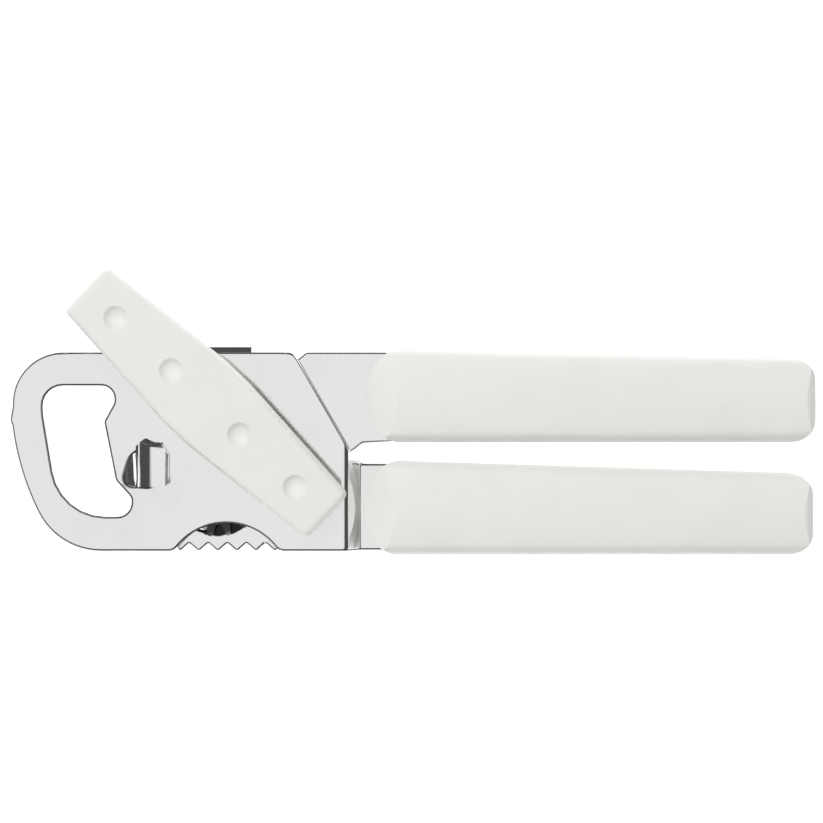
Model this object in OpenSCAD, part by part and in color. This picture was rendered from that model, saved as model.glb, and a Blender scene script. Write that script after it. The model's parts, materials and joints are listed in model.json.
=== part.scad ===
// Hand can opener with a turning key, a cap lifter and a serrated cap grip.
// It lies on its back: X runs along the handles, Z points out of the front.
// Inside the modules X = 0, Y = 0 is the plates' datum beside the key shaft,
// and place() moves each piece so that the origin is the middle of the underside.

/* [Plates] */
// Thickness of both steel plates
plate_t = 1.5; // [1.2:0.1:1.6]
// Height of the rear plate's back face above the table
rear_z = 5.2; // [5.2:0.1:6]
// Height of the space for the gears between the plates
gear_space = 2.6; // [2.6:0.1:3]
// Top edge of the front plate
front_top_y = 11.2; // [10.8:0.1:11.3]
// Bottom edge of the front plate
front_bottom_y = -33; // [-33.2:0.1:-32.6]

/* [Cap lifter loop] */
// Radius of the loop's outline at its upper corner
loop_top_r = 11.3; // [11:0.1:11.6]
// Radius of the loop's long outer side
loop_side_r = 60; // [56:1:64]
// Radius of the loop's outline at its lower corner
loop_bottom_r = 15.7; // [15:0.1:16.4]
// Radius of the scallop in the bottom edge
scallop_r = 14; // [13:0.5:14.5]

/* [Handles] */
// Distance from the plates' datum to the far end of the upper grip
grip_end_x = 136.7; // [125:0.1:140]
// Width of a grip at its shoulder
grip_w = 20.9; // [20.6:0.1:21.2]
// Thickness of a grip
grip_t = 11; // [10:0.5:12]
// How far the handles open, in degrees
open_angle = 22; // [15:1:25]

/* [Key] */
// Half of the key's length
key_half = 36.1; // [34:0.1:38]
// Width of the key at its middle
key_mid_w = 18.8; // [18:0.1:20]
// Width of the key at its ends
key_end_w = 13.2; // [12:0.1:15]
// Thickness of the key's plastic cover
key_t = 7; // [6.5:0.5:8]
// Angle of the key at rest, measured from the handles
key_angle = -43.3; // [-50:0.1:-40]

/* [Wheels] */
// Radius of the serrated feed wheel
feed_r = 9.6; // [9.2:0.1:9.7]
// Number of teeth on the feed wheel
feed_teeth = 36; // [28:2:40]
// Radius of the cutting disc
cutter_r = 10; // [9.6:0.1:10.1]

/* [Hidden] */
$fn = 64;

// Radial clearances: a running fit, a fixed fit and a shaft in a long slot
run_gap = 0.05;
fix_gap = 0.02;
slot_gap = 0.4;

// Levels of the plates
rear_top = rear_z + plate_t;
front_z = rear_top + gear_space;
front_top = front_z + plate_t;

// Axes: the pivot of the handles, the key's shaft and the cutter's stud.
// Both gears are alike, so the two axes are one pitch diameter apart.
gear_teeth = 16;
gear_module = 1.2;
pitch_r = gear_module * gear_teeth / 2;
pivot = [-12.9, -14.6];
key_at = [1.85, -0.05];
cutter_dir = -87;
cutter_at = key_at + 2 * pitch_r * [cos(cutter_dir), sin(cutter_dir)];

// Bend of the front plate down to the lower handle
bend_x = 31.1;
bend_run = 3;
bend_shift = 0.7;

// Middle of the whole object, where place() puts the origin
nib_at = [-43.05, -4];
lower_grip_y = -34;
key_corner_r = 1.5;
key_tip = [key_half - key_corner_r, key_end_w / 2 - key_corner_r];
y_max = key_at.y - key_tip.x * sin(key_angle) + key_tip.y * cos(key_angle) + key_corner_r;
mid_x = (nib_at.x + grip_end_x) / 2;
mid_y = (lower_grip_y + y_max) / 2;

// Key stack, upwards from the front plate
key_washer_t = 0.7;
shoulder_z = front_top + key_washer_t + 0.1;
cover_z = front_top + 8;
bar_z = cover_z;
bar_t = 2;
bar_inset = 0.7;
nut_t = 2;
nut_w = 7;
journal_r = 3;
shoulder_r = 4.5;
square_w = 4.2;
bar_square_w = 5.2;
thread_r = 2;
bushing_r = 4.6;
bushing_flange_r = 5.8;
bushing_flange_t = 0.22;
screw_hole_r = 1.25;
screw_thread_r = 1.2;

// Gears stand between the plates
gear_z = rear_top + 0.3;
gear_t = 2;

// Wheels stand behind the rear plate
feed_t = 2.3;
feed_z = rear_z - 0.25 - feed_t;
cutter_t = 1.1;
cutter_z = feed_z - 0.15 - cutter_t;
stud_r = 2;
hub_r = 3.4;
screw_head_r = 3.6;

// Length of a grip and the radius of the crown across its front
grip_len = 100.5;
crown_r = 53;

module place() {
    translate([-mid_x, -mid_y, 0])
        children();
}

// Moves a piece onto the key shaft's axis
module at_key() {
    place()
    translate([key_at.x, key_at.y, 0])
        children();
}

// Points along an arc about c
function arc(c, r, a0, a1, n) =
    [for (i = [0:n]) c + r * [cos(a0 + (a1 - a0) * i / n), sin(a0 + (a1 - a0) * i / n)]];

function unit(v) = v / norm(v);

function wrap(a) = a > 180 ? a - 360 : a < -180 ? a + 360 : a;

// The rounded corner at b on the way from a to c
function corner(a, b, c, r, n = 6) =
    let (
        u = unit(a - b),
        v = unit(c - b),
        half = acos(u * v) / 2,
        centre = b + unit(u + v) * r / sin(half),
        from = b + u * r / tan(half) - centre,
        to = b + v * r / tan(half) - centre,
        a0 = atan2(from.y, from.x),
        turn = wrap(atan2(to.y, to.x) - a0)
    )
    arc(centre, r, a0, a0 + turn, n);

function flat(p) = [p.x, p.y];

// A closed outline of [x, y, corner radius] points
function rounded(pts, n = 6) =
    let (m = len(pts))
    [
        for (i = [0:m - 1])
            each pts[i].z == 0
                ? [flat(pts[i])]
                : corner(flat(pts[(i + m - 1) % m]), flat(pts[i]), flat(pts[(i + 1) % m]), pts[i].z, n)
    ];

// The points without those that repeat the one before
function distinct(pts) =
    [for (i = [0:len(pts) - 1]) if (i == 0 || norm(pts[i] - pts[i - 1]) > 0.001) pts[i]];

// Outline of the front plate: loop, scallop, arm and slanted right edge
module front_outline() {
    top_c = [-31.2, front_top_y - loop_top_r];
    side_a0 = 187;
    side_c = [-42.6, -5] - loop_side_r * [cos(side_a0), sin(side_a0)];
    inset_r = loop_side_r - loop_bottom_r;
    side_a1 = 180 + asin((side_c.y - front_bottom_y - loop_bottom_r) / inset_r);
    bottom_c = side_c + inset_r * [cos(side_a1), sin(side_a1)];
    blend_r = 2.5;
    scallop_c = [5.1, -26.8 - scallop_r];
    blend_y = front_bottom_y + blend_r;
    lean = asin((blend_y - scallop_c.y) / (scallop_r + blend_r));
    blend_x = (scallop_r + blend_r) * cos(lean);
    polygon(distinct(concat(
        corner([33.1, -11.2], [20.1, front_top_y], [0, front_top_y], 2.6),
        arc(top_c, loop_top_r, 90, 183, 18),
        [nib_at],
        arc(side_c, loop_side_r, side_a0, side_a1, 8),
        arc(bottom_c, loop_bottom_r, side_a1, 270, 12),
        arc([scallop_c.x - blend_x, blend_y], blend_r, 270, 360 - lean, 5),
        arc(scallop_c, scallop_r, 180 - lean, lean, 20),
        arc([scallop_c.x + blend_x, blend_y], blend_r, 180 + lean, 270, 5),
        arm_points(front_bottom_y, -13.7, 0),
        [[35.2, -13.7], [32.9, -11]]
    )));
}

// The end of a plate inside a grip: a shoulder, then a narrower tang
function arm_points(bottom, top, grow) = [
    [42.5, bottom - grow],
    [46, bottom + 3.5 - grow],
    [122 + grow, bottom + 3.5 - grow],
    [122 + grow, top - 3.5 + grow],
    [46, top - 3.5 + grow],
    [42.5, top + grow]
];

// Hole of the cap lifter, with the lip that hooks under a cap
module lifter_hole() {
    polygon(rounded([
        [-35.9, 3.8, 4.5],
        [-35.8, -2.5, 20],
        [-32, -25.4, 12],
        [-15.9, -25.4, 3.2],
        [-16, -21.1, 1.8],
        [-19.5, -17.3, 2.2],
        [-22.1, -4.2, 1.2],
        [-19.8, 0, 2.4],
        [-19.8, 3.8, 2.9]
    ]));
}

// Window for the hook of the rear plate: a circle about the pivot, with
// a smaller one beside it and the straight sides that touch both
module pivot_window() {
    wide_r = 4.2;
    narrow_r = 2;
    narrow_c = [-15.8, -16.7];
    to_narrow = narrow_c - pivot;
    toward = 360 + atan2(to_narrow.y, to_narrow.x);
    spread = acos((wide_r - narrow_r) / norm(to_narrow));
    polygon(distinct(concat(
        arc(pivot, wide_r, toward + spread, 360 + toward - spread, 40),
        arc(narrow_c, narrow_r, toward - spread, toward + spread, 12)
    )));
}

// Side view of a sheet that steps down, as an X-Z outline made deep along Y
module stepped_sheet() {
    drop = front_z - rear_z;
    rotate([90, 0, 0])
        linear_extrude(height = 120, center = true)
            polygon(rounded([
                [-60, front_top, 0],
                [-60, front_z, 0],
                [bend_x, front_z, 1.5],
                [bend_x + bend_run, rear_z, 2.5],
                [150, rear_z, 0],
                [150, rear_top, 0],
                [bend_x + bend_run + bend_shift, rear_top, 1],
                [bend_x + bend_shift, rear_top + drop, 2.2]
            ]));
}

module front_plate() {
    color("gainsboro")
    place()
    difference() {
        intersection() {
            linear_extrude(height = front_top + 5)
                front_outline();
            stepped_sheet();
        }
        translate([0, 0, front_z - 1])
            linear_extrude(height = plate_t + 2) {
                lifter_hole();
                pivot_window();
                arc_slot(key_at - pivot, open_angle, journal_r + slot_gap);
            }
    }
}

// Slot about the pivot: a shaft at the offset "at" sweeps it over "turn" degrees
module arc_slot(at, turn, half) {
    radius = norm(at);
    from = atan2(at.y, at.x);
    steps = 12;
    path = function (r, a0, a1) arc(pivot, r, a0, a1, steps);
    round_end = function (a, side) arc(
        pivot + radius * [cos(a), sin(a)], half, a - (side < 0 ? 180 : 0), a + (side < 0 ? 0 : 180), steps
    );
    lo = min(from, from + turn);
    hi = max(from, from + turn);
    polygon(distinct(concat(
        path(radius + half, lo, hi),
        round_end(hi, 1),
        path(radius - half, hi, lo),
        round_end(lo, -1)
    )));
}

serration_pitch = 4.29;
serration_y = -33.3;
serration_deep = 1.76;
serration_x = -5.7;

// Outline of the rear plate, with its row of teeth at the bottom
module rear_outline() {
    polygon(concat(
        [[10.4, 11.4], [-10.4, 11.4], [-14.5, 6], [-18.6, -4], [-18.6, -17.6]],
        [[-14, -22.5], [-10, -27.5], [-6.6, -31.4]],
        [
            for (i = [0:4])
                let (x = serration_x + i * serration_pitch)
                each concat(
                    [[x, serration_y]],
                    arc([x + serration_pitch / 2, serration_y + serration_deep - 0.4], 0.4, 140, 40, 4)
                )
        ],
        [[serration_x + 5 * serration_pitch, serration_y], [17.4, -31.2]],
        [[27, -22], [30.6, -15.6], [32.2, -12], [32.6, -11], [33.6, -10.4], [35.3, -9]],
        rear_arm(0),
        [[22.7, 11.3], [20.9, 9.8], [17, 8.9], [11.4, 8.9]]
    ));
}

function rear_arm(grow) = arm_points(-8.6, 11.3, grow);

// Rim guide: the top of the rear plate, bent over to the back in two steps
module rim_guide() {
    foot_y = 13.1;
    first = [10.445, rear_z - 0.3];
    first_r = 0.3;
    last = [11.2, rear_z - 1.064];
    last_r = 0.4;
    slope = 50;
    rotate([90, 0, 90])
        linear_extrude(height = 20.8, center = true)
            polygon(concat(
                [[10, rear_z]],
                arc(first, first_r, 90, slope, 3),
                arc(last, last_r, slope, 0, 4),
                [[foot_y - plate_t, 0.6], [foot_y - plate_t + 0.4, 0], [foot_y - 0.4, 0], [foot_y, 0.6]],
                arc(last, last_r + plate_t, 0, slope, 8),
                arc(first, first_r + plate_t, slope, 90, 6),
                [[10, rear_top]]
            ));
}

// Hook: a tongue that ramps up from the rear plate, rises through the window,
// arches over and ends in a nose that reaches over the window's edge. The upper
// end of the arch slopes down as well.
module pivot_hook() {
    ramp_x = pivot.x - 5.4;
    ramp_top = rear_top + 2.05;
    ramp_half = 3.9;
    neck_x = pivot.x - 2.5;
    neck_half = 3;
    crest_x = -9.5;
    tip_x = -7.5;
    crest = front_top + 3.4;
    over = front_top + 0.35;
    inner = plate_t;
    low_end = -18.7;
    high_end = -7.8;
    half_arch = crest_x - neck_x;
    arch = function (thick) [
        for (a = [180:-10:90])
            [crest_x + (half_arch - thick) * cos(a), front_z + (crest - front_z - thick) * sin(a), 0]
    ];
    intersection() {
        translate([0, pivot.y, 0])
            rotate([90, 0, 0])
                linear_extrude(height = 20, center = true)
                    difference() {
                        polygon(rounded(concat(
                            [
                                [ramp_x, rear_z, 0],
                                [ramp_x, rear_top, 0],
                                [neck_x, ramp_top, 0]
                            ],
                            arch(0),
                            [
                                [tip_x, crest, 0.9],
                                [tip_x, over, 0.4],
                                [tip_x - 0.2 - inner, over, 0.3],
                                [tip_x - 0.2 - inner, rear_z, 0]
                            ]
                        )));
                        polygon(rounded(concat(
                            [[neck_x + inner, rear_z - 1, 0]],
                            arch(inner),
                            [
                                [tip_x - inner, crest - inner, 0.3],
                                [tip_x - inner, over - 0.01, 0],
                                [tip_x, over - 0.01, 0],
                                [tip_x, rear_z - 1, 0]
                            ]
                        )));
                    }
        rotate([90, 0, 90])
            linear_extrude(height = 60, center = true)
                polygon(rounded([
                    [low_end, 0, 0],
                    [low_end, crest + 1, 0],
                    [high_end - 2.3, crest + 1, 0],
                    [high_end - 2.3, crest, 0.8],
                    [high_end, over + 0.3, 0.4],
                    [high_end, 0, 0]
                ]));
        union() {
            translate([ramp_x - 1, pivot.y - ramp_half, rear_z])
                cube([pivot.x - ramp_x + 1, 2 * ramp_half, ramp_top - rear_z]);
            translate([neck_x - 1, pivot.y - neck_half, rear_z])
                cube([pivot.x - neck_x + 1, 2 * neck_half, crest - rear_z]);
            translate([0, 0, over])
                linear_extrude(height = 10)
                    polygon(rounded([
                        [neck_x - 1, low_end, 1.4],
                        [tip_x, low_end, 1.4],
                        [tip_x, -11.4, 1.6],
                        [-9.7, -8.3, 1.6],
                        [-12.8, high_end, 1.4],
                        [neck_x - 1, -11, 1.6]
                    ]));
        }
    }
}

module rear_plate() {
    color("gainsboro")
    place()
    union() {
        difference() {
            translate([0, 0, rear_z])
                linear_extrude(height = plate_t)
                    rear_outline();
            translate([0, 0, rear_z - 1])
                linear_extrude(height = plate_t + 2) {
                    arc_slot(cutter_at - pivot, -open_angle, hub_r + slot_gap);
                    polygon(rounded([
                        [pivot.x - 1, pivot.y - 3.2, 0],
                        [-2.6, pivot.y - 2.2, 1],
                        [-2.6, pivot.y + 3.2, 1],
                        [pivot.x - 1, pivot.y + 3.2, 0]
                    ]));
                }
            translate([key_at.x, key_at.y, rear_z - 1])
                cylinder(r = bushing_r + fix_gap, h = plate_t + 2);
            translate([-12, 10.5, rear_z - 1])
                cube([24, 3, plate_t + 2]);
        }
        rim_guide();
        pivot_hook();
    }
}

// A grip: a flat sleeve with a rounded inner end, straight below and tapered above
module grip(end_x, bottom, taper, slot_bottom, slot_top) {
    top = bottom + grip_w;
    mid = (top + bottom) / 2;
    nose_x = end_x - grip_len;
    nose = 7.8;
    shoulder_x = nose_x + nose;
    far_top = top - taper;
    slope = atan(taper / (end_x - shoulder_x));
    edge = 3;
    difference() {
        intersection() {
            linear_extrude(height = grip_t)
                polygon(concat(
                    [for (a = [90:10:270]) [shoulder_x + nose * cos(a), mid + grip_w / 2 * sin(a)]],
                    corner([shoulder_x, bottom], [end_x, bottom], [end_x, far_top], 5.8),
                    corner([end_x, bottom], [end_x, far_top], [shoulder_x, top], 5.8)
                ));
            rotate([90, 0, 0])
                linear_extrude(height = 120, center = true)
                    polygon(rounded([
                        [nose_x, rear_z - 0.9, 0.4],
                        [shoulder_x - 1, 0, 3],
                        [end_x, 0, 1.2],
                        [end_x, grip_t, 3],
                        [shoulder_x - 1, grip_t, 4],
                        [nose_x, rear_top + 0.9, 0.4]
                    ]));
            grip_edge_rod(bottom, 1, edge);
            translate([shoulder_x, top, 0])
                rotate([0, 0, -slope])
                    translate([-shoulder_x, 0, 0])
                        grip_edge_rod(0, -1, edge);
        }
        translate([0, 0, rear_z - fix_gap])
            linear_extrude(height = plate_t + 2 * fix_gap)
                polygon(concat(
                    [[0, slot_bottom - fix_gap]],
                    arm_points(slot_bottom, slot_top, fix_gap),
                    [[0, slot_top + fix_gap]]
                ));
    }
}

// Height of a grip's crowned front at a distance from its long edge
function crown(d) = grip_t - pow(grip_w / 2 - d, 2) / 2 / crown_r;

// A long bar whose edge at y is rounded at the crowned front and eased at the back
module grip_edge_rod(y, side, r) {
    rotate([90, 0, 90])
        linear_extrude(height = 400, center = true)
            polygon(rounded([
                [y, 0, 1],
                [y + side * 60, 0, 0],
                [y + side * 60, grip_t, 0],
                [y + side * grip_w / 2, grip_t, 0],
                [y + side * 7, crown(7), 0],
                [y + side * 4, crown(4), 0],
                [y, crown(0), r]
            ]));
}

module upper_grip() {
    color("white")
    place()
        grip(grip_end_x, -8.9, 2.2, -8.6, 11.3);
}

module lower_grip() {
    color("white")
    place()
        grip(grip_end_x - 0.5, lower_grip_y, 2.8, front_bottom_y, -13.7);
}

// Flanged bushing of the key shaft, pressed into the rear plate
module key_bushing() {
    color("silver")
    at_key()
    difference() {
        union() {
            translate([0, 0, rear_z])
                cylinder(r = bushing_r, h = plate_t);
            translate([0, 0, rear_top])
                cylinder(r = bushing_flange_r, h = bushing_flange_t);
        }
        translate([0, 0, rear_z - 1])
            cylinder(r = journal_r + run_gap, h = 4);
    }
}

// Wide washer that covers the slot of the front plate under the key
module key_washer() {
    color("silver")
    at_key()
    translate([0, 0, front_top + 0.05])
        difference() {
            cylinder(r = 7.2, h = key_washer_t);
            translate([0, 0, -1])
                cylinder(r = journal_r + run_gap, h = 3);
        }
}

// A square bar along Z, turned with the key
module key_square(width, z, height) {
    rotate([0, 0, key_angle])
        translate([-width / 2, -width / 2, z])
            cube([width, width, height]);
}

module key_shaft() {
    color("silver")
    at_key()
    difference() {
        union() {
            key_square(square_w, feed_z + 0.1, 5);
            translate([0, 0, rear_z - 0.15])
                cylinder(r = journal_r, h = shoulder_z - rear_z + 0.15);
            translate([0, 0, shoulder_z])
                cylinder(r = shoulder_r, h = bar_z - shoulder_z);
            key_square(bar_square_w, bar_z, bar_t);
            translate([0, 0, bar_z])
                cylinder(r = thread_r, h = bar_t + nut_t + 0.3);
        }
        translate([0, 0, feed_z - 1])
            cylinder(r = screw_hole_r, h = 7);
    }
}

// Steel bar of the key, let into the cover, with a square hole for the shaft
module key_bar() {
    color("silver")
    at_key()
    difference() {
        translate([0, 0, bar_z])
            rotate([0, 0, key_angle])
                linear_extrude(height = bar_t)
                    polygon(key_outline(bar_inset));
        key_square(bar_square_w + 2 * fix_gap, bar_z - 1, bar_t + 2);
    }
}

// Hexagon nut that clamps the bar on the shaft
module key_nut() {
    color("silver")
    at_key()
    translate([0, 0, bar_z + bar_t])
        rotate([0, 0, key_angle])
            difference() {
                cylinder(r = nut_w / 2 / cos(30), h = nut_t, $fn = 6);
                translate([0, 0, -1])
                    cylinder(r = thread_r + fix_gap, h = nut_t + 2);
            }
}

function key_outline(inset) =
    let (
        half = key_half - inset,
        mid = key_mid_w / 2 - inset,
        end = key_end_w / 2 - inset,
        r = max(0.3, key_corner_r - inset)
    )
    rounded([
        [-half, -end, r], [-4, -mid, 20], [4, -mid, 20], [half, -end, r],
        [half, end, r], [4, mid, 20], [-4, mid, 20], [-half, end, r]
    ]);

module key_cover() {
    ease = 1.6;
    dimple_r = 4.2;
    dimple_deep = 0.95;
    color("white")
    at_key()
    translate([0, 0, cover_z])
        rotate([0, 0, key_angle])
            difference() {
                hull() {
                    linear_extrude(height = key_t - ease)
                        polygon(key_outline(0));
                    linear_extrude(height = key_t - 0.35)
                        polygon(key_outline(0.6));
                    linear_extrude(height = key_t)
                        polygon(key_outline(ease));
                }
                for (x = [-26.6, -10.1, 10.1, 26.6])
                    translate([x, 0, key_t + dimple_r - dimple_deep])
                        sphere(r = dimple_r);
                translate([0, 0, -1])
                    linear_extrude(height = 1 + bar_z - cover_z + bar_t + fix_gap)
                        polygon(key_outline(bar_inset - fix_gap));
                translate([0, 0, 0.1])
                    cylinder(r = nut_w / 2 / cos(30) + 0.1, h = bar_z - cover_z + bar_t + nut_t + 0.3);
            }
}

function inv(a) = tan(a) * 180 / PI - a;

// Spur gear outline with involute flanks, and one tooth centred on +X
function gear_points() =
    let (
        base_r = pitch_r * cos(20),
        root_r = pitch_r - 1.2 * gear_module,
        tip_r = pitch_r + 0.92 * gear_module,
        backlash = 0.24,
        half_pitch = (PI * gear_module / 2 - backlash) / 2 / pitch_r * 180 / PI,
        radii = [for (i = [0:5]) base_r + (tip_r - base_r) * i / 5],
        lean = [for (r = radii) half_pitch + inv(20) - inv(acos(min(1, base_r / r)))]
    )
    [
        for (k = [0:gear_teeth - 1])
            let (at = 360 * k / gear_teeth)
            each concat(
                [root_r * [cos(at - lean[0] - 1), sin(at - lean[0] - 1)]],
                [for (i = [0:5]) radii[i] * [cos(at - lean[i]), sin(at - lean[i])]],
                [for (i = [5:-1:0]) radii[i] * [cos(at + lean[i]), sin(at + lean[i])]],
                [root_r * [cos(at + lean[0] + 1), sin(at + lean[0] + 1)]]
            )
    ];

// Gear on the key shaft, between the plates
module drive_gear() {
    color("silver")
    at_key()
    translate([0, 0, gear_z])
        rotate([0, 0, cutter_dir])
            difference() {
                linear_extrude(height = gear_t)
                    polygon(gear_points());
                translate([0, 0, -1])
                    cylinder(r = journal_r + fix_gap, h = gear_t + 2);
            }
}

// Serrated wheel that bites under the rim of the can
module feed_wheel() {
    bite = 0.9;
    color("silver")
    at_key()
    translate([0, 0, feed_z])
        difference() {
            linear_extrude(height = feed_t)
                polygon([
                    for (k = [0:feed_teeth - 1])
                        let (at = 360 * k / feed_teeth, step = 360 / feed_teeth)
                        each [
                            feed_r * [cos(at - 0.12 * step), sin(at - 0.12 * step)],
                            feed_r * [cos(at + 0.12 * step), sin(at + 0.12 * step)],
                            (feed_r - bite) * [cos(at + 0.5 * step), sin(at + 0.5 * step)]
                        ]
                ]);
            rotate([0, 0, key_angle])
                translate([-square_w / 2 - fix_gap, -square_w / 2 - fix_gap, -1])
                    cube([square_w + 2 * fix_gap, square_w + 2 * fix_gap, feed_t + 2]);
        }
}

// Shakeproof washer under the head of the feed wheel's screw
module feed_washer() {
    color("silver")
    at_key()
    translate([0, 0, feed_z - 0.55])
        difference() {
            cylinder(r = 4.2, h = 0.5);
            translate([0, 0, -1])
                cylinder(r = screw_hole_r, h = 3);
        }
}

// Screw with a slotted head that reaches down to the table
module slotted_screw(head_t, thread_len) {
    difference() {
        union() {
            cylinder(r = screw_head_r, h = head_t);
            cylinder(r = screw_thread_r, h = head_t + thread_len);
        }
        translate([-screw_head_r - 1, -0.4, -1])
            cube([2 * screw_head_r + 2, 0.8, 1.6]);
    }
}

module feed_screw() {
    color("silver")
    at_key()
        slotted_screw(feed_z - 0.6, 5);
}

// Moves a piece onto the cutter's axis
module at_cutter() {
    place()
    translate([cutter_at.x, cutter_at.y, 0])
        children();
}

// A ring from z0 to z1
module ring(inner, outer, z0, z1) {
    translate([0, 0, z0])
        difference() {
            cylinder(r = outer, h = z1 - z0);
            translate([0, 0, -1])
                cylinder(r = inner, h = z1 - z0 + 2);
        }
}

// Stud of the cutter, welded to the back of the front plate
module cutter_stud() {
    color("silver")
    at_cutter()
    union() {
        ring(screw_hole_r, stud_r, cutter_z - 0.05, cutter_z + 5);
        translate([0, 0, cutter_z + 5])
            cylinder(r = stud_r, h = front_z - cutter_z - 5);
        translate([0, 0, front_z - 0.2])
            cylinder(r = 3, h = 0.2);
    }
}

// Hub that joins the cutter gear and the disc, and turns on the stud
module cutter_hub() {
    color("silver")
    at_cutter()
        ring(stud_r + run_gap, hub_r, cutter_z + 0.05, gear_z + gear_t);
}

module cutter_gear() {
    color("silver")
    at_cutter()
    translate([0, 0, gear_z])
        rotate([0, 0, cutter_dir + 180 + 180 / gear_teeth])
            difference() {
                linear_extrude(height = gear_t)
                    polygon(gear_points());
                translate([0, 0, -1])
                    cylinder(r = hub_r + fix_gap, h = gear_t + 2);
            }
}

// Sleeve that holds the cutting disc off the rear plate
module cutter_spacer() {
    color("silver")
    at_cutter()
        ring(hub_r + fix_gap, 4.9, cutter_z + cutter_t + 0.62, rear_z - 0.25);
}

// Dished washer that presses the disc back
module cutter_spring_washer() {
    inner = hub_r + fix_gap;
    z0 = cutter_z + cutter_t + 0.02;
    color("silver")
    at_cutter()
        rotate_extrude()
            polygon([[inner, z0], [5, z0 + 0.22], [5, z0 + 0.56], [inner, z0 + 0.34]]);
}

// Cutting disc, ground to an edge from behind
module cutter_wheel() {
    edge_t = 0.15;
    color("silver")
    at_cutter()
    translate([0, 0, cutter_z])
        difference() {
            rotate_extrude($fn = 96)
                polygon([
                    [0, 0],
                    [cutter_r - 2.4, 0],
                    [cutter_r, cutter_t - edge_t],
                    [cutter_r, cutter_t],
                    [0, cutter_t]
                ]);
            translate([0, 0, -1])
                cylinder(r = hub_r + fix_gap, h = 3);
        }
}

// Thin washer that the turning disc runs on
module cutter_washer() {
    color("silver")
    at_cutter()
        ring(screw_hole_r, 4.4, cutter_z - 0.32, cutter_z - 0.08);
}

module cutter_screw() {
    color("silver")
    at_cutter()
        slotted_screw(cutter_z - 0.34, 4);
}

front_plate();
rear_plate();
upper_grip();
lower_grip();
key_bushing();
key_washer();
key_shaft();
key_bar();
key_nut();
key_cover();
drive_gear();
feed_wheel();
feed_washer();
feed_screw();
cutter_stud();
cutter_hub();
cutter_gear();
cutter_spacer();
cutter_spring_washer();
cutter_wheel();
cutter_washer();
cutter_screw();
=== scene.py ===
import json
import math

import bpy
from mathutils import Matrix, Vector

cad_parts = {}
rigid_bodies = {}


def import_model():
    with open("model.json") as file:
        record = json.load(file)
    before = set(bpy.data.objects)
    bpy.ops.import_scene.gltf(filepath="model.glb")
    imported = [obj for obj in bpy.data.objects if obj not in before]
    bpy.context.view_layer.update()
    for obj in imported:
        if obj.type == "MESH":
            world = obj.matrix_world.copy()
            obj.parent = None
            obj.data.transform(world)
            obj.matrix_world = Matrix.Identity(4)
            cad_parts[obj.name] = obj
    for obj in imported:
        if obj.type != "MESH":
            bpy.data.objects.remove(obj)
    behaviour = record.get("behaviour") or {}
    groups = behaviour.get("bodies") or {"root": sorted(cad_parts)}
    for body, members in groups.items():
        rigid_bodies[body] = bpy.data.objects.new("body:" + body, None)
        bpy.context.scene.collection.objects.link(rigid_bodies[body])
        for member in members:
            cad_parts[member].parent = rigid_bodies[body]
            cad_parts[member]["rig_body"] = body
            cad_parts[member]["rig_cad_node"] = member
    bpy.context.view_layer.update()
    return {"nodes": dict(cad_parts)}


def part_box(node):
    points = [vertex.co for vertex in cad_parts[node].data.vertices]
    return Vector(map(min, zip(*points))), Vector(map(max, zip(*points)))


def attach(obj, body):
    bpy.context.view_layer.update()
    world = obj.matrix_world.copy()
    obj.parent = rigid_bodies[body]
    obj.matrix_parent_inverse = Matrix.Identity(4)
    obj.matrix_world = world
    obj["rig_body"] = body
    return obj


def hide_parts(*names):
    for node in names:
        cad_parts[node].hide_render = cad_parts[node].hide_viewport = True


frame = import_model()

# ---------------------------------------------------------------- front plate
# The front plate and the lower handle's arm are one pressing of 1.5 mm steel.
# It is blanked, its arrises are tumbled round, and it is plated with bright
# chrome over nickel, so that its flat faces mirror the studio.

MM = 0.001
FINE_EASE = 0.15


def axis_of(node):
    """The middle of a round node, where its axis stands."""
    low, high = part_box(node)
    return (Vector(low) + Vector(high)) / 2


key_axis = axis_of("key_washer")
cutter_axis = axis_of("cutter_washer")
datum = key_axis / MM - Vector((1.85, -0.05, 0))


def pick(piece, kind, test):
    """Leaves only those verts, edges or faces of a piece selected that the test says."""
    bpy.ops.object.mode_set(mode="EDIT")
    bpy.ops.mesh.select_all(action="DESELECT")
    bpy.ops.mesh.select_mode(type={"vertices": "VERT", "edges": "EDGE", "polygons": "FACE"}[kind])
    bpy.ops.object.mode_set(mode="OBJECT")
    for element in getattr(piece.data, kind):
        element.select = test(element)
    bpy.ops.object.mode_set(mode="EDIT")


def alone(piece):
    """Makes a piece the only selected object, and the active one."""
    bpy.ops.object.select_all(action="DESELECT")
    piece.select_set(True)
    bpy.context.view_layer.objects.active = piece


def finish_mesh(piece, smooth=40):
    """Smooth shading that keeps the flat faces flat."""
    alone(piece)
    bpy.ops.object.shade_smooth_by_angle(angle=math.radians(smooth))
    bpy.ops.object.modifier_add(type="WEIGHTED_NORMAL")
    piece.modifiers[-1].weight = 100
    piece.modifiers[-1].keep_sharp = True
    bpy.ops.object.modifier_apply(modifier=piece.modifiers[-1].name)


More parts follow.
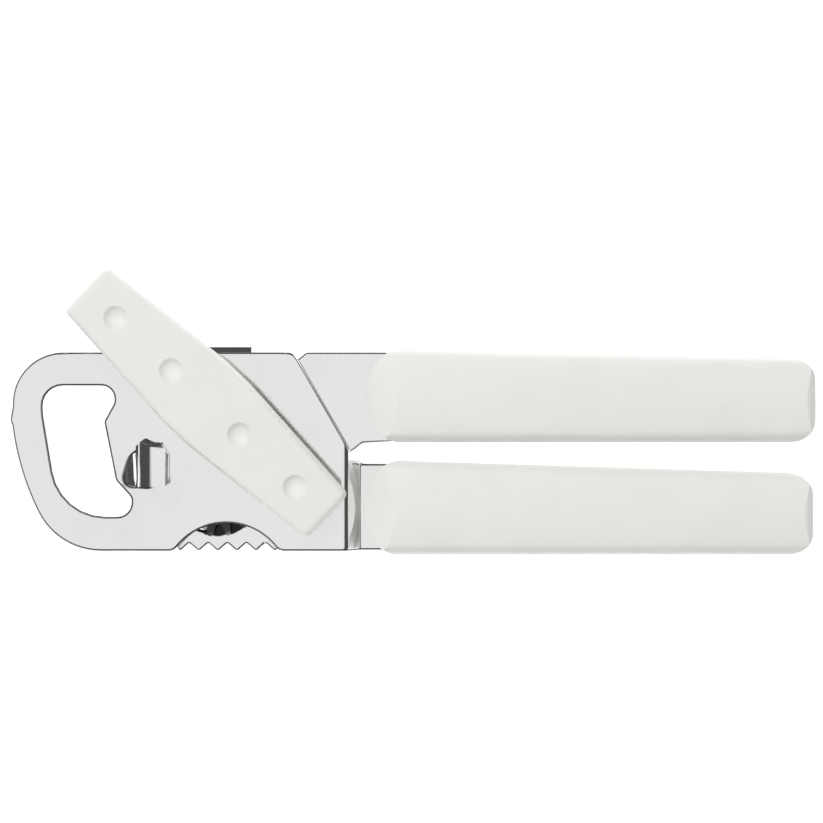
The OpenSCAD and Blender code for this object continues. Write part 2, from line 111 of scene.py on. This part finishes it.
def eased_copy(node, width, segments=3, sharp=32, clamp=True, fine=None):
    """A working copy of a pressed or turned part, with its arrises rounded over.
    Where fine(place) holds, the arrises get the fine rounding instead."""
    alone(frame["nodes"][node])
    bpy.ops.object.duplicate()
    piece = bpy.context.object
    piece.parent = None
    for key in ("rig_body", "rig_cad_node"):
        if key in piece:
            del piece[key]
    piece.name = piece.data.name = node + "_finished"
    bpy.ops.object.mode_set(mode="EDIT")
    bpy.ops.mesh.select_mode(type="EDGE")
    bpy.ops.mesh.select_all(action="SELECT")
    bpy.ops.mesh.remove_doubles(threshold=2e-6)
    bpy.ops.mesh.dissolve_limited(angle_limit=math.radians(1.5))
    round_over(piece, sharp, lambda at: not (fine and fine(at)), width, segments, clamp)
    if fine:
        round_over(piece, sharp, fine, FINE_EASE, 2, True)
    bpy.ops.object.mode_set(mode="OBJECT")
    finish_mesh(piece)
    return piece


def round_over(piece, sharp, test, width, segments, clamp):
    """Bevels the sharp edges of a piece whose middles pass the test."""
    bpy.ops.mesh.select_all(action="DESELECT")
    bpy.ops.mesh.edges_select_sharp(sharpness=math.radians(sharp))
    bpy.ops.object.mode_set(mode="OBJECT")
    sharp_edges = {edge.index for edge in piece.data.edges if edge.select}
    place = [vertex.co / MM - datum for vertex in piece.data.vertices]

    def middle(edge):
        return (place[edge.vertices[0]] + place[edge.vertices[1]]) / 2

    pick(piece, "edges", lambda edge: edge.index in sharp_edges and test(middle(edge)))
    bpy.ops.mesh.bevel(offset=width * MM, segments=segments, profile=0.5, clamp_overlap=clamp)


def fit(piece, node, body, *materials):
    """Puts a finished piece in its node's place, on its body and in its finishes."""
    piece.data.materials.clear()
    for material in materials:
        piece.data.materials.append(material)
    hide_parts(node)
    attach(piece, body)


class Value:
    """A socket of a finish, so that shader maths is written as plain expressions."""

    def __init__(self, finish, socket):
        self.finish = finish
        self.socket = socket

    def math(self, operation, *others):
        return self.finish.node("ShaderNodeMath", {"operation": operation}, [self, *others])

    def __add__(self, other):
        return self.math("ADD", other)

    def __sub__(self, other):
        return self.math("SUBTRACT", other)

    def __rsub__(self, other):
        return self.finish.node("ShaderNodeMath", {"operation": "SUBTRACT"}, [other, self])

    def __mul__(self, other):
        return self.math("MULTIPLY", other)

    def __truediv__(self, other):
        return self.math("DIVIDE", other)

    __radd__ = __add__
    __rmul__ = __mul__


class Finish:
    """A material in the making."""

    def __init__(self, name):
        self.material = bpy.data.materials.new(name)
        self.material.use_nodes = True
        self.tree = self.material.node_tree
        self.shader = self.tree.nodes["Principled BSDF"]
        self.place = self.node("ShaderNodeTexCoord", output="Object")

    def node(self, kind, settings=None, inputs=(), output=0):
        made = self.tree.nodes.new(kind)
        for key, value in (settings or {}).items():
            setattr(made, key, value)
        for key, value in inputs.items() if isinstance(inputs, dict) else enumerate(inputs):
            self.feed(made.inputs[key], value)
        return Value(self, made.outputs[output])

    def feed(self, socket, value):
        if isinstance(value, Value):
            self.tree.links.new(value.socket, socket)
        else:
            socket.default_value = value

    def noise(self, size, detail=3.0, stretch=(1, 1, 1), turn=0.0):
        """Noise whose features are about size millimetres, stretched along its own axes."""
        at = self.node(
            "ShaderNodeMapping",
            {},
            {"Vector": self.place, "Rotation": (0, 0, turn), "Scale": [1000 / size / s for s in stretch]},
        )
        return self.node("ShaderNodeTexNoise", {}, {"Vector": at, "Scale": 1.0, "Detail": detail})

    def band(self, value, low, high, to_low=0.0, to_high=1.0):
        """Smoothly maps low..high of a value to to_low..to_high."""
        return self.node(
            "ShaderNodeMapRange",
            {"interpolation_type": "SMOOTHSTEP"},
            {"Value": value, "From Min": low, "From Max": high, "To Min": to_low, "To Max": to_high},
        )

    def mix(self, factor, a, b):
        return self.node("ShaderNodeMix", {"data_type": "RGBA"}, {0: factor, 6: a, 7: b}, output=2)

    def scratches(self, size, turn, thin=0.03):
        """Thin, long, sparse lines in one direction."""
        lines = self.noise(size, 2.0, (18, 1, 1), turn)
        sparse = self.noise(size * 7, 2.0)
        ridge = self.band((lines - 0.5).math("ABSOLUTE"), 0.0, thin, 1.0, 0.0)
        return ridge * self.band(sparse, 0.5, 0.62)

    def done(self, colour, roughness, metallic, height=None, depth=0.01, **constants):
        """Feeds the shader. depth is in millimetres; constants are plain sockets."""
        self.feed(self.shader.inputs["Base Color"], colour)
        self.feed(self.shader.inputs["Roughness"], roughness)
        self.feed(self.shader.inputs["Metallic"], metallic)
        for name, value in constants.items():
            self.shader.inputs[name.replace("_", " ")].default_value = value
        if height is not None:
            bump = self.node(
                "ShaderNodeBump", {}, {"Strength": 1.0, "Distance": depth * MM, "Height": height}
            )
            self.feed(self.shader.inputs["Normal"], bump)
        return self.material


def radius_from(f, axis):
    """Distance of a point from an upright axis, in millimetres."""
    offset = f.node("ShaderNodeVectorMath", {"operation": "SUBTRACT"}, [f.place, (axis.x, axis.y, 0)])
    flat = f.node("ShaderNodeVectorMath", {"operation": "MULTIPLY"}, [offset, (1, 1, 0)])
    return f.node("ShaderNodeVectorMath", {"operation": "LENGTH"}, [flat], output="Value") / MM


def bright_chrome(name, turn, painted_shade_radius=0.0):
    """Polished chrome plate with a little orange peel, wipe marks and hairlines.
    painted_shade_radius is the radius of a near-black patch of painted shade about the cutter's axis,
    standing for the shade in the gap between the plates."""
    f = Finish(name)
    peel = f.noise(9, 2.0)
    grain = f.noise(0.5, 3.0, (30, 1, 1), turn)
    smudge = f.band(f.noise(14, 4.0), 0.45, 0.75)
    hair = f.scratches(1.2, turn + 0.4) + f.scratches(1.6, turn - 0.9)
    colour = f.mix(smudge, (0.875, 0.878, 0.872, 1), (0.845, 0.846, 0.838, 1))
    roughness = 0.045 + smudge * 0.05 + hair * 0.08
    if painted_shade_radius:
        # Painted shade: within this radius of the cutter's axis the chrome is coloured near-black, for the
        # shade in the gap between the plates.
        edge = radius_from(f, cutter_axis) + (f.noise(1.8, 2.0) - 0.5) * 0.8
        dark_patch = f.band(edge, painted_shade_radius - 0.25, painted_shade_radius + 0.1, 1.0, 0.0)
        colour = f.mix(dark_patch, colour, (0.022, 0.022, 0.025, 1))
        roughness = roughness + dark_patch * 0.15
    height = peel * 0.9 + grain * 0.05 - hair * 0.06
    return f.done(colour, roughness, 1.0, height, 0.010)


def cut_edge_painted_dark(name):
    """The cut edge of a blanked sheet and the steep part of the rounded arrises: torn grain, coloured
    near-black, which is partly the dull cut and partly a painted dark reflection of the low walls.
    """
    f = Finish(name)
    tear = f.noise(0.35, 4.0, (0.5, 0.5, 3))
    patch = f.band(f.noise(2.5, 3.0), 0.35, 0.65)
    # Painted reflection: the near-black colour stands for the dark walls mirrored in the steep arrises, as
    # well as the dull grain of the cut.
    colour = f.mix(patch, (0.045, 0.045, 0.043, 1), (0.09, 0.088, 0.082, 1))
    return f.done(colour, 0.34 + tear * 0.2, 1.0, tear, 0.03)


def shear_and_shade_edges(piece, test):
    """Gives the faces tilted more than about 37 degrees from the sheet, which are the cut edges and the
    steep part of the rounded arrises, the piece's second finish: the near-black painted edge.
    """
    pick(
        piece, "polygons",
        lambda face: abs(face.normal.z) < 0.8 and test(face.center / MM - datum, face.normal),
    )
    bpy.ops.object.mode_set(mode="OBJECT")
    for face in piece.data.polygons:
        face.material_index = 1 if face.select else 0


def off_the_joggle(at, normal):
    on_slant = normal.x > 0.5 and normal.y > 0.25 and 19 < at.x < 34 and at.y > -12
    return (at.x < 30 or at.x > 36.5 or abs(normal.y) > 0.5) and not on_slant


front_plate = eased_copy("front_plate", 0.6, 4, clamp=False)
fit(
    front_plate, "front_plate", "lower_handle",
    bright_chrome("front_plate_chrome", 0.0), cut_edge_painted_dark("front_plate_cut_edge_painted_dark"),
)
# The cut edges and the steep part of the rounded arrises are coloured near-black: partly the dull cut,
# partly a painted dark reflection.
shear_and_shade_edges(front_plate, off_the_joggle)

# ----------------------------------------------------------------- rear plate
# The rear plate carries the upper handle. One pressing again: the cap grip's
# teeth are blanked, the rim guide is folded to the back and the pivot hook is
# drawn up through the front plate's window and curled over its edge. Around the
# cutter its chrome carries a near-black patch of painted shade, for the shade in
# the gap between the plates.


def on_the_hook(at):
    return -19 < at.x < -6 and -19.5 < at.y < -7


def on_the_guide(at, half_width, foot):
    return abs(at.x) < half_width and at.y > foot


def on_a_small_fold(at):
    return on_the_hook(at) or on_the_guide(at, 12, 9.5)


def off_the_folds(at, normal):
    return not on_the_hook(at) and not on_the_guide(at, 10.6, 10.4)


rear_plate = eased_copy("rear_plate", 0.5, 4, clamp=False, fine=on_a_small_fold)
# The rear plate's chrome carries painted shade out to 10.7 mm about the cutter's axis.
fit(
    rear_plate, "rear_plate", "upper_handle",
    bright_chrome("rear_plate_chrome", 0.06, 10.7), cut_edge_painted_dark("rear_plate_cut_edge_painted_dark"),
)
# The cut edges and the steep part of the rounded arrises are coloured near-black: partly the dull cut,
# partly a painted dark reflection.
shear_and_shade_edges(rear_plate, off_the_folds)

# ----------------------------------------------------- bushing and key washer
# The flanged bushing is turned from bright steel and pressed into the rear
# plate. The key washer is a plain punched washer, nickel plated.


def turned_steel(name, axis, colour, roughness, pitch=0.12, depth=0.004):
    """Turned metal: fine rings about its own axis, with stains and handling marks."""
    f = Finish(name)
    radius = radius_from(f, axis)
    wander = f.noise(4, 2.0)
    rings = (radius * (2 * math.pi / pitch) + wander * 9.0).math("SINE")
    stain = f.band(f.noise(3.5, 4.0), 0.42, 0.7)
    nicks = f.scratches(0.9, 0.7)
    tint = f.mix(stain, (*colour, 1), (*[c * 0.88 for c in colour], 1))
    rough = roughness + stain * 0.08 + rings * 0.03 + nicks * 0.1
    height = rings * 0.5 + f.noise(0.35, 3.0) * 0.6 - nicks * 0.8
    return f.done(tint, rough, 1.0, height, depth)


key_bushing = eased_copy("key_bushing", 0.06, 2)
fit(
    key_bushing, "key_bushing", "upper_handle",
    turned_steel("bushing_steel", key_axis, (0.62, 0.6, 0.56), 0.22),
)
key_washer = eased_copy("key_washer", 0.15)
fit(key_washer, "key_washer", "key", turned_steel("washer_nickel", key_axis, (0.74, 0.73, 0.7), 0.18, 0.5))

# -------------------------------------------------------------------- gears
# Two equal spur gears stand between the plates and turn the feed wheel and the
# cutting disc together. They are stamped from 2 mm steel, blackened and greased,
# and their teeth are polished by running. Their near-black colour also paints the
# shade in the gap between the plates.


def black_gear_and_painted_shade(name, axis):
    """Black oxide over stamped steel, greasy, worn bright on the tips of the teeth; the near-black colour
    also stands for the shade between the plates.
    """
    f = Finish(name)
    radius = radius_from(f, axis)
    worn = f.band(radius, 9.6, 10.7) * f.band(f.noise(1.6, 3.0), 0.4, 0.62)
    mottle = f.noise(1.1, 4.0)
    grease = f.band(f.noise(4, 3.0), 0.5, 0.68)
    # Painted shade: the colour is kept near-black so that the gears read as the shade between the plates,
    # besides their black oxide.
    plain = f.mix(mottle, (0.05, 0.05, 0.052, 1), (0.085, 0.084, 0.082, 1))
    soiled = f.mix(grease * 0.6, plain, (0.045, 0.038, 0.028, 1))
    colour = f.mix(worn * 0.6, soiled, (0.42, 0.415, 0.4, 1))
    roughness = 0.42 - worn * 0.16 - grease * 0.12 + mottle * 0.08
    return f.done(colour, roughness, 1.0, mottle * 0.6 + f.noise(0.3, 3.0) * 0.5, 0.006)


drive_gear = eased_copy("drive_gear", 0.14, 2)
fit(drive_gear, "drive_gear", "key", black_gear_and_painted_shade("drive_gear_black_shaded", key_axis))
cutter_gear = eased_copy("cutter_gear", 0.14, 2)
fit(cutter_gear, "cutter_gear", "cutter", black_gear_and_painted_shade("cutter_gear_black_shaded", cutter_axis))

# ------------------------------------------------------- key shaft, bar, nut
# The shaft is turned steel with a square at each end. The bar is blanked from
# 2 mm mild steel and clamped on the upper square with a hexagon nut.

key_shaft = eased_copy("key_shaft", 0.16)
fit(key_shaft, "key_shaft", "key", turned_steel("shaft_steel", key_axis, (0.66, 0.65, 0.62), 0.2, 0.18))


def rolled_steel(name, turn):
    """Hot-rolled mild steel, oiled over its dark scale: mill grain and rub marks."""
    f = Finish(name)
    grain = f.noise(0.25, 4.0, (24, 1, 1), turn)
    dark_patch = f.band(f.noise(5, 3.0), 0.4, 0.7)
    rub = f.scratches(0.8, turn + 1.2)
    colour = f.mix(dark_patch, (0.15, 0.147, 0.14, 1), (0.1, 0.096, 0.088, 1))
    roughness = 0.36 - dark_patch * 0.12 + grain * 0.1 + rub * 0.1
    return f.done(colour, roughness, 1.0, grain - rub * 0.5, 0.006)


key_bar = eased_copy("key_bar", 0.2)
fit(key_bar, "key_bar", "key", rolled_steel("key_bar_steel", math.radians(43.3)))
key_nut = eased_copy("key_nut", 0.3)
fit(key_nut, "key_nut", "key", turned_steel("nut_zinc", key_axis, (0.7, 0.69, 0.66), 0.26, 0.3))

# ----------------------------------------------------------------- key cover
# The key's cover is injection moulded in white polypropylene and pressed over
# the bar. Four finger dimples run along its face, with the small round mark of
# an ejector pin between them.


def moulded_white(name, turn, marks):
    """Satin white moulding: spark-eroded grain, slow flow marks and handling gloss.
    marks(f) gives the height of the piece's own tool marks."""
    f = Finish(name)
    grain = f.noise(0.22, 3.0)
    flow = f.noise(16, 2.0, (3, 1, 1), turn)
    handled = f.band(f.noise(11, 4.0), 0.46, 0.66)
    hair = f.scratches(0.9, turn + 0.3, 0.02) + f.scratches(1.1, turn - 1.0, 0.02)
    tool = marks(f)
    clean = f.mix(flow, (0.822, 0.815, 0.792, 1), (0.842, 0.836, 0.815, 1))
    colour = f.mix(handled * 0.35 + hair * 0.25, clean, (0.79, 0.78, 0.748, 1))
    roughness = 0.40 + grain * 0.06 - handled * 0.09 + hair * 0.08
    height = grain * 0.35 + flow * 1.4 - hair * 0.25 + tool
    return f.done(colour, roughness, 0.0, height, 0.02, Specular_IOR_Level=0.42)


def pin_mark(f):
    return f.band((radius_from(f, key_axis) - 1.1).math("ABSOLUTE"), 0.0, 0.14, -1.6, 0.0)


key_cover = eased_copy("key_cover", 0.3, 3, 24)
fit(key_cover, "key_cover", "key", moulded_white("key_cover_white", math.radians(43.3), pin_mark))

# ----------------------------------------------- feed wheel, washer and screw
# The feed wheel is case-hardened steel with 36 sharp serrations that bite the
# underside of the rim. A shakeproof washer and a slotted screw hold it on.

feed_wheel = eased_copy("feed_wheel", 0.07, 2)
fit(
    feed_wheel, "feed_wheel", "key",
    turned_steel("feed_wheel_steel", key_axis, (0.58, 0.57, 0.55), 0.3, 0.35, 0.006),
)
feed_washer = eased_copy("feed_washer", 0.08, 2)
fit(
    feed_washer, "feed_washer", "key",
    turned_steel("feed_washer_steel", key_axis, (0.46, 0.45, 0.43), 0.32, 0.5),
)
feed_screw = eased_copy("feed_screw", 0.22)
fit(
    feed_screw, "feed_screw", "key",
    turned_steel("feed_screw_nickel", key_axis, (0.72, 0.7, 0.66), 0.2, 0.16),
)

# ------------------------------------------------------------- cutter's parts
# A hollow stud is welded behind the front plate. The hub turns on it with the
# gear, the spacer, a dished spring washer and the ground cutting disc, and a
# washer and a slotted screw close the stack.

cutter_stud = eased_copy("cutter_stud", 0.1, 2)
fit(
    cutter_stud, "cutter_stud", "lower_handle",
    turned_steel("stud_steel", cutter_axis, (0.6, 0.58, 0.55), 0.25),
)
cutter_hub = eased_copy("cutter_hub", 0.1, 2)
fit(cutter_hub, "cutter_hub", "cutter", turned_steel("hub_steel", cutter_axis, (0.62, 0.61, 0.58), 0.22))
cutter_spacer = eased_copy("cutter_spacer", 0.12, 2)
fit(
    cutter_spacer, "cutter_spacer", "cutter",
    turned_steel("spacer_zinc", cutter_axis, (0.66, 0.65, 0.62), 0.28, 0.22),
)
cutter_spring_washer = eased_copy("cutter_spring_washer", 0.08, 2)
fit(
    cutter_spring_washer, "cutter_spring_washer", "cutter",
    turned_steel("spring_washer_blue", cutter_axis, (0.2, 0.23, 0.3), 0.3, 0.4),
)


def ground_disc(name):
    """Hardened steel: a dark face with turning rings and a bright ground bevel."""
    f = Finish(name)
    radius = radius_from(f, cutter_axis)
    rings = (radius * 38.0 + f.noise(5, 2.0) * 7.0).math("SINE")
    ground = f.band(radius, 7.5, 7.7)
    stone = f.noise(0.12, 4.0, (1, 1, 1))
    stain = f.band(f.noise(3, 4.0), 0.45, 0.7)
    face = f.mix(stain, (0.52, 0.52, 0.51, 1), (0.42, 0.41, 0.38, 1))
    colour = f.mix(ground, face, (0.74, 0.74, 0.73, 1))
    roughness = 0.3 - ground * 0.12 + stain * 0.08 + stone * 0.06
    return f.done(colour, roughness, 1.0, rings * 0.5 + stone * 0.5, 0.004)


cutter_wheel = eased_copy("cutter_wheel", 0.03, 2, 40)
fit(cutter_wheel, "cutter_wheel", "cutter", ground_disc("cutter_wheel_steel"))
cutter_washer = eased_copy("cutter_washer", 0.06, 2)
fit(
    cutter_washer, "cutter_washer", "lower_handle",
    turned_steel("cutter_washer_steel", cutter_axis, (0.55, 0.54, 0.52), 0.26, 0.3),
)
cutter_screw = eased_copy("cutter_screw", 0.2)
fit(
    cutter_screw, "cutter_screw", "lower_handle",
    turned_steel("cutter_screw_nickel", cutter_axis, (0.72, 0.7, 0.66), 0.2, 0.16),
)

# --------------------------------------------------------------------- grips
# Each grip is a white moulding pushed over the arm of its plate. The crowned
# sleeve is cut off at a slant at the plate, and a faint double line shows where
# two inserts of the mould meet.


def insert_line(x):
    def marks(f):
        along = f.node("ShaderNodeSeparateXYZ", {}, [f.place]) / MM - datum.x
        first = f.band((along - x).math("ABSOLUTE"), 0.0, 0.16, -0.9, 0.0)
        return first + f.band((along - (x + 1.0)).math("ABSOLUTE"), 0.0, 0.13, -0.6, 0.0)

    return marks


upper_grip = eased_copy("upper_grip", 0.35, 3, 15)
fit(upper_grip, "upper_grip", "upper_handle", moulded_white("upper_grip_white", 0.0, insert_line(46.2)))
lower_grip = eased_copy("lower_grip", 0.35, 3, 15)
fit(lower_grip, "lower_grip", "lower_handle", moulded_white("lower_grip_white", 0.02, insert_line(45.7)))

# -------------------------------------------------------------------- studio
# The opener lies on a white sheet under a bright plain ceiling, with a key light
# beyond its top edge, a fill light on the other side, and dark walls low down,
# which draw a dark line along every rounded arris of the chrome.

bpy.ops.object.select_all(action="DESELECT")
bpy.ops.mesh.primitive_plane_add(size=4, location=(0, 0, -0.2 * MM))
sheet = bpy.context.object
sheet.name = "white_sheet"
paper = Finish("white_sheet_paper")
fibre = paper.noise(3, 4.0)
paper.feed(paper.shader.inputs["Emission Color"], (1, 1, 1, 1))
paper.feed(paper.shader.inputs["Emission Strength"], 0.6)
white = paper.mix(fibre, (0.9, 0.9, 0.9, 1), (0.92, 0.92, 0.92, 1))
sheet.data.materials.append(paper.done(white, 0.9, 0.0, fibre, 0.01, Specular_IOR_Level=0.0))

world = bpy.data.worlds.new("studio")
bpy.context.scene.world = world
world.use_nodes = True
sky = world.node_tree
aim = sky.nodes.new("ShaderNodeTexCoord")
split = sky.nodes.new("ShaderNodeSeparateXYZ")
ramp = sky.nodes.new("ShaderNodeValToRGB")
ramp.color_ramp.elements[0].position = 0.73
ramp.color_ramp.elements[0].color = (0.075, 0.078, 0.078, 1)
ramp.color_ramp.elements[1].position = 0.86
ramp.color_ramp.elements[1].color = (0.885, 0.885, 0.88, 1)
sky.links.new(aim.outputs["Generated"], split.inputs[0])
sky.links.new(split.outputs["Z"], ramp.inputs[0])
sky.links.new(ramp.outputs[0], sky.nodes["Background"].inputs["Color"])


def softbox(name, azimuth, elevation, distance, size, watts):
    """A square lamp that faces the object, at an azimuth from +Y towards +X.
    The chrome doesn't mirror it."""
    a, e = math.radians(azimuth), math.radians(elevation)
    away = Vector((math.sin(a) * math.cos(e), math.cos(a) * math.cos(e), math.sin(e)))
    lamp = bpy.data.lights.new(name, "AREA")
    lamp.size = size
    lamp.energy = watts
    holder = bpy.data.objects.new(name, lamp)
    bpy.context.scene.collection.objects.link(holder)
    holder.location = away * distance
    holder.rotation_mode = "QUATERNION"
    holder.rotation_quaternion = away.to_track_quat("Z", "Y")
    holder.visible_glossy = False


softbox("key_light", -18, 42, 1.3, 0.45, 10.2)
softbox("fill_light", 200, 45, 1.3, 0.7, 5.0)

distance = 0.50
plate_level = 0.010
view_width = 183.3644 * MM
lens = bpy.data.cameras.new("camera")
camera = bpy.data.objects.new("camera", lens)
bpy.context.scene.collection.objects.link(camera)
centre = (datum + Vector((46.345, -1.96, 0))) * MM
camera.location = (centre.x, centre.y, distance + plate_level)
lens.sensor_width = 36
lens.lens = lens.sensor_width * distance / view_width
bpy.context.scene.camera = camera
bpy.context.scene.view_settings.view_transform = "Standard"
